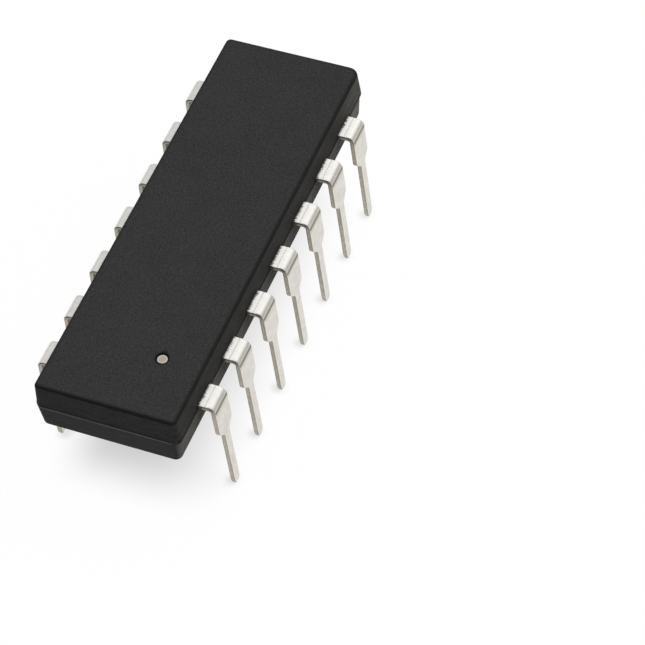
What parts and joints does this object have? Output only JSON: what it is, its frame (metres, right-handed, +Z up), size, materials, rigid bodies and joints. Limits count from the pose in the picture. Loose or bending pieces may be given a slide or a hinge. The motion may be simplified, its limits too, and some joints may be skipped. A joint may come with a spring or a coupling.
{
  "type": "dual in-line integrated circuit",
  "caption": "Integrated circuit in a black moulded dual in-line body with two rows of formed tin-plated leads for through-hole boards and sockets, and a pin-one mark on its top.",
  "frame": {"origin": "midway between the two lead rows and between the body's ends, in the plane of the lead tips", "axes": "+X along the rows, away from the pin-one end; +Y across, away from lead 1's row; +Z up, out of the marked top face"},
  "size_m": [0.0204, 0.0082, 0.0066],
  "materials": {
    "moulding": "black moulded epoxy with a fine matte grain",
    "plated_lead": "satin tin plate over a rolled copper strip, with cut edges",
    "marking_ink": "dry beige ink",
    "silicon": "polished silicon with metal bond areas",
    "die_adhesive": "silver-filled adhesive",
    "bond_gold": "drawn gold wire"
  },
  "bodies": {
    "root": {"body": "moulding", "pin_one_dot": "marking_ink", "die_pad": "plated_lead", "die_attach": "die_adhesive", "die": "silicon", "lead_1": "plated_lead", "lead_2": "plated_lead", "lead_3": "plated_lead", "lead_5": "plated_lead", "lead_6": "plated_lead", "lead_7": "plated_lead", "lead_8": "plated_lead", "lead_9": "plated_lead", "lead_10": "plated_lead", "lead_12": "plated_lead", "lead_13": "plated_lead", "lead_14": "plated_lead", "bond_wire_1": "bond_gold", "bond_wire_2": "bond_gold", "bond_wire_3": "bond_gold", "bond_wire_4": "bond_gold", "bond_wire_5": "bond_gold", "bond_wire_6": "bond_gold", "bond_wire_7": "bond_gold", "bond_wire_8": "bond_gold", "bond_wire_9": "bond_gold", "bond_wire_10": "bond_gold", "bond_wire_11": "bond_gold", "bond_wire_12": "bond_gold", "bond_wire_13": "bond_gold", "bond_wire_14": "bond_gold"}
  },
  "joints": []
}
